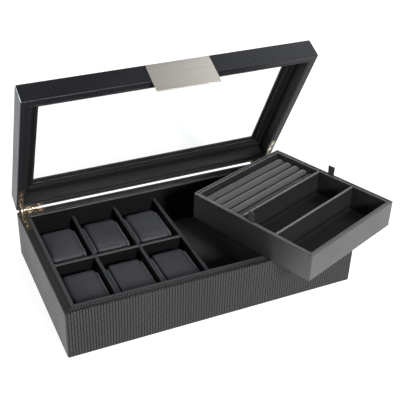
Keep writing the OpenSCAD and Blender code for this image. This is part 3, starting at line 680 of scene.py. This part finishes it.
def pillow_blank():
    """Rounded block a little smaller than the finished pillow, centred on the origin."""
    w, l, h = PW - 1.4, PL - 2.4, (PZ1 - PZ0) - 2.2
    r = 10.5
    pts = []
    for cy, cz, a0 in ((l / 2 - r, h / 2 - r, 0), (-l / 2 + r, h / 2 - r, 90), (-l / 2 + r, -h / 2 + r, 180), (l / 2 - r, -h / 2 + r, 270)):
        pts += [(cy + r * math.cos(rad(a0 + a)), cz + r * math.sin(rad(a0 + a))) for a in range(0, 91, 15)]
    bm = bmesh.new()
    secs = [(-w / 2, 0.93), (-w / 2 + 0.8, 0.97), (-w / 2 + 2.2, 1.0), (w / 2 - 2.2, 1.0), (w / 2 - 0.8, 0.97), (w / 2, 0.93)]
    rings = [[bm.verts.new((x * MM, y * s * MM, z * s * MM)) for y, z in pts] for x, s in secs]
    for a, b in zip(rings, rings[1:]):
        for i in range(len(pts)):
            j = (i + 1) % len(pts)
            bm.faces.new((a[i], a[j], b[j], b[i]))
    bm.faces.new(rings[0][::-1])
    bm.faces.new(rings[-1])
    bmesh.ops.recalc_face_normals(bm, faces=bm.faces)
    me = bpy.data.meshes.new("pillow_blank")
    bm.to_mesh(me)
    bm.free()
    return me


def make_pillow():
    me = pillow_blank()
    o = bpy.data.objects.new("pillow_work", me)
    bpy.context.scene.collection.objects.link(o)
    rm = o.modifiers.new("remesh", "REMESH")
    rm.mode, rm.voxel_size = "VOXEL", 0.0027
    dg = bpy.context.evaluated_depsgraph_get()
    voxel = bpy.data.meshes.new_from_object(o.evaluated_get(dg))
    o.modifiers.clear()
    o.data = voxel
    before = np.array([v.co for v in voxel.vertices])
    c = o.modifiers.new("cloth", "CLOTH")
    s = c.settings
    s.use_pressure, s.uniform_pressure_force = True, 4.0
    s.effector_weights.gravity = 0.0
    s.quality = 6
    s.mass = 0.3
    s.tension_stiffness = s.compression_stiffness = 25
    c.collision_settings.use_collision = False
    c.collision_settings.use_self_collision = False
    sc = bpy.context.scene
    sc.frame_start, sc.frame_end = 1, 20
    for f in range(1, 21):
        sc.frame_set(f)
    dg = bpy.context.evaluated_depsgraph_get()
    done = bpy.data.meshes.new_from_object(o.evaluated_get(dg))
    o.modifiers.clear()
    sc.frame_set(1)
    after = np.array([v.co for v in done.vertices])
    move = after - before
    length = np.linalg.norm(move, axis=1, keepdims=True)
    cap = 0.0016
    after = before + move * np.minimum(1.0, cap / np.maximum(length, 1e-9))
    half = np.array([PW / 2 + 0.2, PL / 2 - 0.1, (PZ1 - PZ0) / 2]) * MM
    after = np.clip(after, -half, half)
    # relax, so that the capped cover stays smooth
    edges = np.array([e.vertices[:] for e in done.edges])
    for _ in range(2):
        acc, cnt = np.zeros_like(after), np.zeros(len(after))
        for a, b in ((0, 1), (1, 0)):
            np.add.at(acc, edges[:, a], after[edges[:, b]])
            np.add.at(cnt, edges[:, a], 1)
        after = 0.6 * after + 0.4 * acc / cnt[:, None]
    bottom = -(PZ1 - PZ0) / 2 * MM
    low = after[:, 2] < bottom + 0.0022
    after[low, 2] = bottom + 0.0001
    done.vertices.foreach_set("co", after.astype(np.float32).ravel())
    o.data = done
    ss = o.modifiers.new("sub", "SUBSURF")
    ss.levels = ss.render_levels = 1
    dg = bpy.context.evaluated_depsgraph_get()
    fine = bpy.data.meshes.new_from_object(o.evaluated_get(dg))
    bpy.data.objects.remove(o)
    return fine, PW / 2 - 3.0


def seam_lip(fine, x_mm, side, drop=3.3, steps=96):
    """Sewn lip with a piped edge, standing out sideways below the edge of the top panel."""
    bm = bmesh.new()
    bm.from_mesh(fine)
    tree = BVHTree.FromBMesh(bm)
    bm.free()
    path = []
    for i in range(steps):
        a = 2 * math.pi * i / steps
        d = Vector((0, math.cos(a), math.sin(a)))
        hit = tree.ray_cast(Vector((side * x_mm * MM, 0, 0)) + d * 0.08, -d)
        path.append((hit[0] if hit[0] is not None else d * 0.02, d))
    section = [(-4.4, -0.4), (-0.4, -0.42), (0.1, -0.58), (0.52, -0.4), (0.68, 0), (0.52, 0.4), (0.1, 0.58), (-0.4, 0.42), (-4.4, 0.4)]
    verts, faces, m = [], [], len(section)
    floor_z = -(PZ1 - PZ0) / 2 * MM + 0.0002
    for i, (p, d) in enumerate(path):
        t = (path[(i + 1) % steps][0] - path[i - 1][0]).normalized()
        n = t.cross(Vector((1, 0, 0))).normalized()
        if n.dot(d) < 0:
            n = -n
        wob = 0.12 * math.sin(i * 0.9) + 0.1 * math.sin(i * 2.3)
        for a, q in section:
            c = Vector((side * (PW / 2 + 1.1 + a + (wob if a > -1 else 0)) * MM, p.y, p.z)) + n * (q - drop) * MM
            c.z = max(c.z, floor_z)
            verts.append(c)
    for i in range(steps):
        for k in range(m):
            faces.append((i * m + k, i * m + (k + 1) % m, ((i + 1) % steps) * m + (k + 1) % m, ((i + 1) % steps) * m + k))
    me = bpy.data.meshes.new("seam")
    me.from_pydata(verts, [], faces)
    bm = bmesh.new()
    bm.from_mesh(me)
    bmesh.ops.recalc_face_normals(bm, faces=bm.faces)
    bm.to_mesh(me)
    bm.free()
    return me


fine, xs = make_pillow()
seams = [seam_lip(fine, xs, 1), seam_lip(fine, xs, -1)]
SX = [-140.0, -84.4, -28.8]
for r, row in enumerate(("rear", "front")):
    for c, col in enumerate(("left", "middle", "right")):
        y = (1 if r == 0 else -1) * 46.0
        turn = random.uniform(-0.5, 0.5)
        flip = Matrix.Rotation(rad(180 if (r + c) % 2 else 0), 4, "Z")
        m = Matrix.Translation((SX[c] * MM, y * MM, (PZ0 + PZ1) / 2 * MM)) @ Matrix.Rotation(rad(turn), 4, "Z") @ flip
        me = fine.copy()
        for v in me.vertices:
            if v.co.z > -0.015:
                q = noise.noise(Vector((v.co.x * 55 + c * 7.7, v.co.y * 45 + r * 4.1, v.co.z * 40)))
                v.co.z += q * 0.35 * MM
                v.co.y += q * 0.15 * MM
        name = "%s_%s" % (row, col)
        body = "pillow_%s_body" % name
        o = finish_mesh("cushion_" + name, me, pillow_m, body, ["pillow_" + name], m, smooth=80, weighted=False)
        for k, sm in enumerate(seams):
            s2 = sm.copy()
            finish_mesh("piping_%s_%d" % (name, k), s2, piping_highlight_m, body, (), m, smooth=80, weighted=False)


# ---------------------------------------------------------------- CAD nodes that show
def dress(node, mat, bevel=0.0):
    o = nodes[node]
    o.data.materials.clear()
    o.data.materials.append(mat)
    if bevel:
        w = o.modifiers.new("weld", "WELD")
        w.merge_threshold = 2e-6
        b = o.modifiers.new("edge", "BEVEL")
        b.limit_method, b.angle_limit, b.width, b.segments = "ANGLE", rad(35), bevel * MM, 2
        b.use_clamp_overlap = True
        wn = o.modifiers.new("normals", "WEIGHTED_NORMAL")
        wn.keep_sharp = True


dress("underside_felt", felt_m)
dress("tray_felt", felt_m)
dress("base_bottom_board", board_m)
dress("slot_floor_lining", suede_m)
dress("bay_floor_lining", suede_m)
dress("tray_floor", tray_suede_m)
dress("lid_glass", glass_m)
nodes["lid_glass"].visible_shadow = False
nodes["lid_glass"].visible_diffuse = False
dress("front_plate", steel_m, 0.22)
dress("plate_adhesive_pad", foam_m)
for s in ("left", "right"):
    dress("hinge_base_leaf_" + s, brass_m, 0.1)
    dress("hinge_lid_leaf_" + s, brass_m, 0.1)
    dress("hinge_pin_" + s, brass_m)
    dress("quadrant_stay_" + s, brass_m, 0.1)
dress("base_leaf_screws", screw_m, 0.1)
dress("lid_leaf_screws", screw_m, 0.1)

# ---------------------------------------------------------------- floor, light, camera
fl = bpy.data.meshes.new("floor")
fl.from_pydata([(-40, -40, 0), (40, -40, 0), (40, 40, 0), (-40, 40, 0)], [], [(0, 1, 2, 3)])
floor = bpy.data.objects.new("floor", fl)
bpy.context.scene.collection.objects.link(floor)
F = Mat("floor_m")
F.set(Base_Color=(0.42, 0.42, 0.42, 1), Roughness=0.9, Specular_IOR_Level=0.1, Emission_Color=(1, 1, 1, 1), Emission_Strength=0.81)
fl.materials.append(F.m)

world = bpy.data.worlds.new("studio")
world.use_nodes = True
bg = world.node_tree.nodes["Background"]
bg.inputs[0].default_value = (1.0, 1.0, 1.0, 1)
bg.inputs[1].default_value = 1.0
wt = world.node_tree
wc = wt.nodes.new("ShaderNodeTexCoord")
wsep = wt.nodes.new("ShaderNodeSeparateXYZ")
wr_ = wt.nodes.new("ShaderNodeMapRange")
wr_.inputs["From Min"].default_value, wr_.inputs["From Max"].default_value = 0.15, 0.95
wr_.inputs["To Min"].default_value, wr_.inputs["To Max"].default_value = 0.58, 0.24
wt.links.new(wc.outputs["Generated"], wsep.inputs[0])
wt.links.new(wsep.outputs[2], wr_.inputs["Value"])
wt.links.new(wr_.outputs[0], bg.inputs[1])
bpy.context.scene.world = world


def area(name, loc, target, size, energy, colour=(1, 1, 1)):
    d = bpy.data.lights.new(name, "AREA")
    d.shape, d.size, d.energy, d.color = "DISK", size, energy, colour
    o = bpy.data.objects.new(name, d)
    bpy.context.scene.collection.objects.link(o)
    o.location = loc
    o.rotation_euler = (Vector(target) - Vector(loc)).to_track_quat("-Z", "Y").to_euler()
    return o


area("key", (0.28, -2.25, 1.33), (0.02, 0, 0.05), 0.5, 95, (1.0, 0.99, 0.97))
area("back", (1.10, 0.30, 1.32), (0.05, 0, 0.2), 1.0, 5.6, (0.88, 0.94, 1.0))
area("edge", (-1.9, 1.1, 1.15), (-0.1, 0, 0.1), 0.4, 20, (0.86, 0.93, 1.0))

cam_d = bpy.data.cameras.new("camera")
cam_d.lens, cam_d.sensor_width = 70.0, 36.0
cam_d.shift_x, cam_d.shift_y = 0.064, -0.0189
cam_d.clip_start, cam_d.clip_end = 0.05, 50
cam = bpy.data.objects.new("camera", cam_d)
bpy.context.scene.collection.objects.link(cam)
fwd = Vector((0.34376, 0.77778, -0.52620)).normalized()
up = Vector((0.19881, 0.48736, 0.85027)).normalized()
right = fwd.cross(up).normalized()
up = right.cross(fwd).normalized()
cam.matrix_world = Matrix(((right.x, up.x, -fwd.x, -0.32813), (right.y, up.y, -fwd.y, -0.71693), (right.z, up.z, -fwd.z, 0.59737), (0, 0, 0, 1)))
bpy.context.scene.camera = cam
bpy.context.scene.view_settings.view_transform = "Standard"
bpy.context.scene.view_settings.look = "None"
